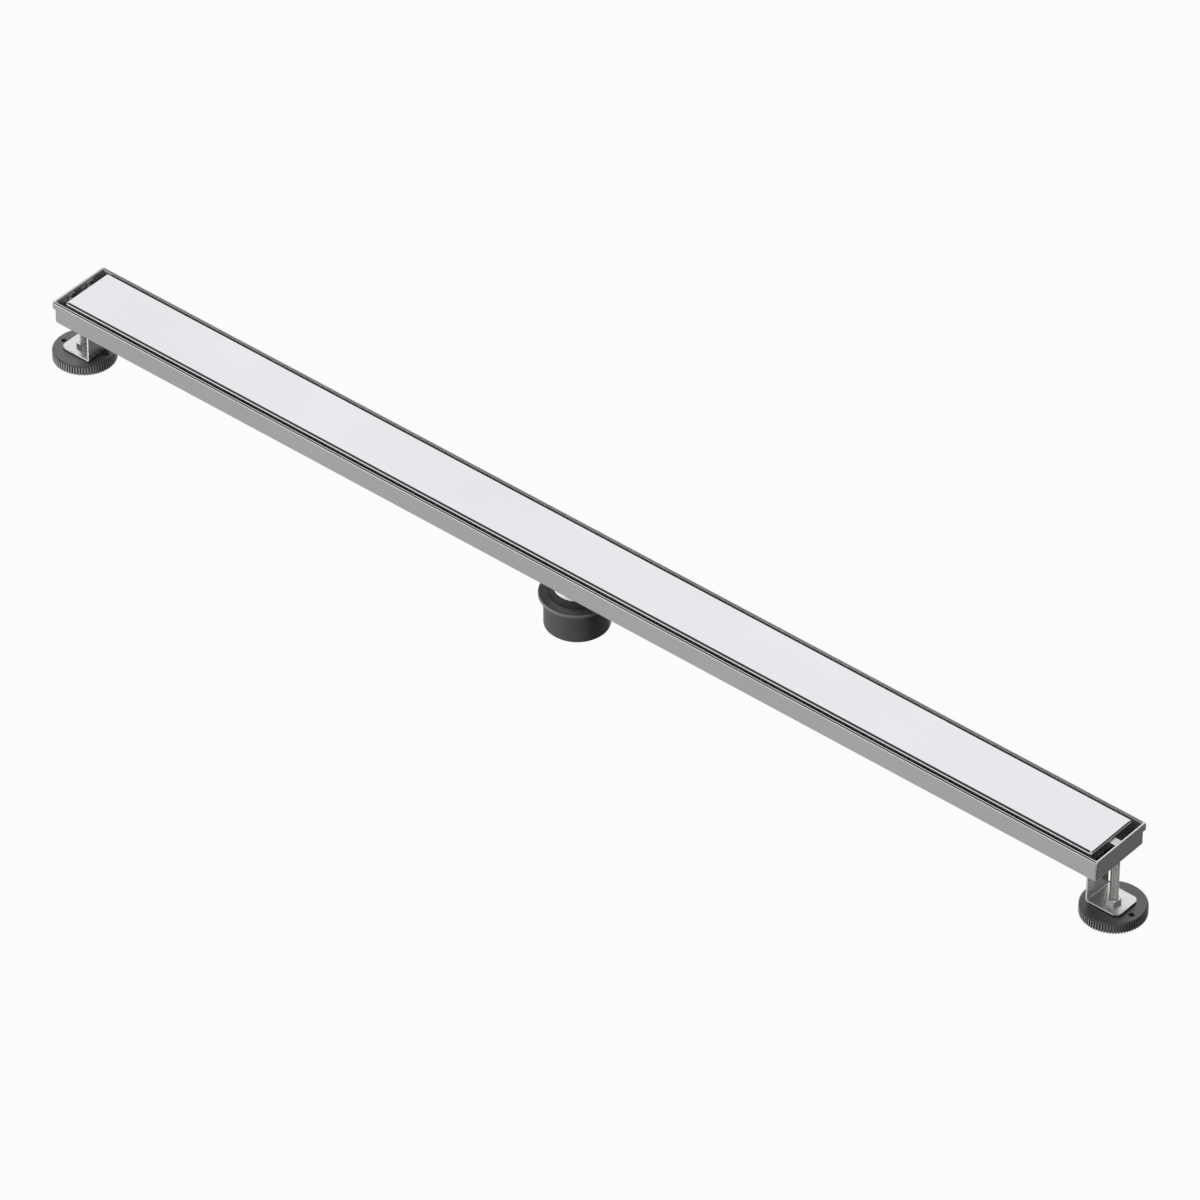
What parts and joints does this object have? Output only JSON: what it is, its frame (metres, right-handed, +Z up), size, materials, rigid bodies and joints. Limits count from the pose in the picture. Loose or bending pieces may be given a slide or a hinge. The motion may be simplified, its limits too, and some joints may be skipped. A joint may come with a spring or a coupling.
{
  "type": "linear shower drain",
  "caption": "Narrow stainless floor channel with a flat lift-off cover, slots round the cover that take water in, a vertical outlet with a push-on pipe adapter, and levelling feet at its ends",
  "frame": {"origin": "centre of the underside, on the floor plane the levelling feet stand on", "axes": "+X along the channel, +Y across it, +Z up; the outlet is a little to the -X side of the middle"},
  "size_m": [1.248, 0.07, 0.0812],
  "materials": {
    "channel_steel": "satin stainless sheet",
    "cover_steel": "fine lengthwise brushed stainless sheet",
    "support_steel": "mill-finish stainless sheet",
    "spacer_steel": "bright stainless strip",
    "strainer_steel": "drawn stainless",
    "spigot_steel": "polished stainless tube",
    "bracket_steel": "satin stainless strap",
    "screw_steel": "rolled stainless screw",
    "zinc_plated_steel": "plain bright stainless",
    "adapter_plastic": "matt black moulded plastic",
    "foot_plastic": "matt dark grey moulded plastic",
    "seal_rubber": "soft black rubber"
  },
  "bodies": {
    "drain": {"channel": "channel_steel", "cover_plate": "cover_steel", "hair_strainer": "strainer_steel", "outlet_spigot": "spigot_steel", "outlet_adapter": "adapter_plastic", "outlet_seal": "seal_rubber", "cover_support_1": "support_steel", "cover_support_2": "support_steel", "cover_support_3": "support_steel", "cover_support_4": "support_steel", "cover_support_5": "support_steel", "cover_support_6": "support_steel", "spacer_left_near": "spacer_steel", "spacer_left_far": "spacer_steel", "spacer_right": "spacer_steel", "left_bracket": "bracket_steel", "left_nut": "zinc_plated_steel", "right_bracket": "bracket_steel", "right_nut": "zinc_plated_steel"},
    "left_washer": {"left_washer": "zinc_plated_steel"},
    "left_foot": {"left_foot_disc": "foot_plastic", "left_bolt": "screw_steel"},
    "right_washer": {"right_washer": "zinc_plated_steel"},
    "right_foot": {"right_foot_disc": "foot_plastic", "right_bolt": "screw_steel"}
  },
  "joints": [
    {"name": "left_foot_height", "type": "slide", "parent": "drain", "child": "left_washer", "axis": [0, 0, -1], "range_m": [0, 0.035]},
    {"name": "left_foot_turn", "type": "hinge", "parent": "left_washer", "child": "left_foot", "pos_m": [-0.594, 0, 0], "axis": [0, 0, -1], "range_deg": [0, 10080]},
    {"name": "right_foot_height", "type": "slide", "parent": "drain", "child": "right_washer", "axis": [0, 0, -1], "range_m": [0, 0.035]},
    {"name": "right_foot_turn", "type": "hinge", "parent": "right_washer", "child": "right_foot", "pos_m": [0.594, 0, 0], "axis": [0, 0, -1], "range_deg": [0, 10080]}
  ],
  "couplings": [
    {"joint": "left_foot_height", "follows": "left_foot_turn", "m_per_rad": 0.00019894},
    {"joint": "right_foot_height", "follows": "right_foot_turn", "m_per_rad": 0.00019894}
  ]
}
